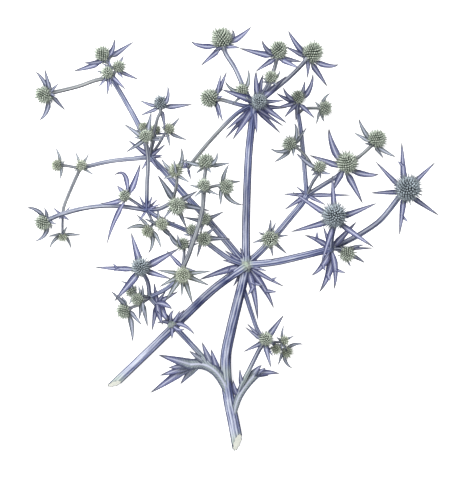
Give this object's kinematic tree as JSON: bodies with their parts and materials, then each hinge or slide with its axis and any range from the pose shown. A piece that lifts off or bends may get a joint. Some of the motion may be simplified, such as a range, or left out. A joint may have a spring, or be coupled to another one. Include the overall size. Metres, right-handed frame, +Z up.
{
  "type": "sea holly stem",
  "caption": "Cut, much forked stem of sea holly lying on its side, with spiny bracts in rings under cone-shaped flower heads, for a bunch, a vase or a table setting.",
  "frame": {"origin": "on the table, under the middle of the stem's bounding box", "axes": "+Z up from the table, +Y from the cut end towards the furthest heads, +X to the right of someone who looks down with the cut end nearest"},
  "size_m": [0.2692, 0.2777, 0.0674],
  "materials": {
    "stem": "blue-violet fresh stem, ribbed, satin",
    "florets_blue": "blue-grey florets, matt",
    "florets_green": "grey-green florets, matt",
    "florets_young": "yellow-green young florets, matt"
  },
  "bodies": {
    "root": {"stem": "stem", "head_upper_left_1": "florets_green", "head_upper_left_2": "florets_green", "head_upper_left_3": "florets_green", "head_upper_left_4": "florets_green", "head_shoulder_1": "florets_blue", "head_shoulder_2": "florets_young", "head_shoulder_3": "florets_young", "head_shoulder_4": "florets_green", "head_shoulder_5": "florets_young", "head_outer_left_1": "florets_young", "head_outer_left_2": "florets_young", "head_outer_left_3": "florets_young", "head_left_tip": "florets_blue", "head_middle_left_1": "florets_green", "head_middle_left_2": "florets_young", "head_middle_left_3": "florets_young", "head_middle_left_4": "florets_green", "head_middle_left_5": "florets_young", "head_inner_tall_1": "florets_green", "head_inner_tall_2": "florets_green", "head_inner_tall_3": "florets_green", "head_inner_1": "florets_young", "head_inner_2": "florets_green", "head_inner_3": "florets_green", "head_inner_4": "florets_green", "head_inner_5": "florets_green", "head_cluster_1": "florets_blue", "head_cluster_2": "florets_green", "head_cluster_3": "florets_green", "head_cluster_4": "florets_green", "head_lower_right_1": "florets_green", "head_lower_right_2": "florets_young", "head_lower_right_3": "florets_young", "head_lower_right_4": "florets_young", "head_crown_1": "florets_green", "head_crown_2": "florets_green", "head_crown_3": "florets_green", "head_crown_4": "florets_green", "head_crown_5": "florets_blue", "head_crown_6": "florets_blue", "head_crown_7": "florets_green", "head_crown_8": "florets_green", "head_crown_9": "florets_green", "head_far_right_1": "florets_green", "head_far_right_2": "florets_green", "head_far_right_3": "florets_green", "head_far_right_4": "florets_green", "head_right_1": "florets_blue", "head_right_2": "florets_green", "head_right_3": "florets_blue", "head_main_fork_head": "florets_young"}
  },
  "joints": []
}
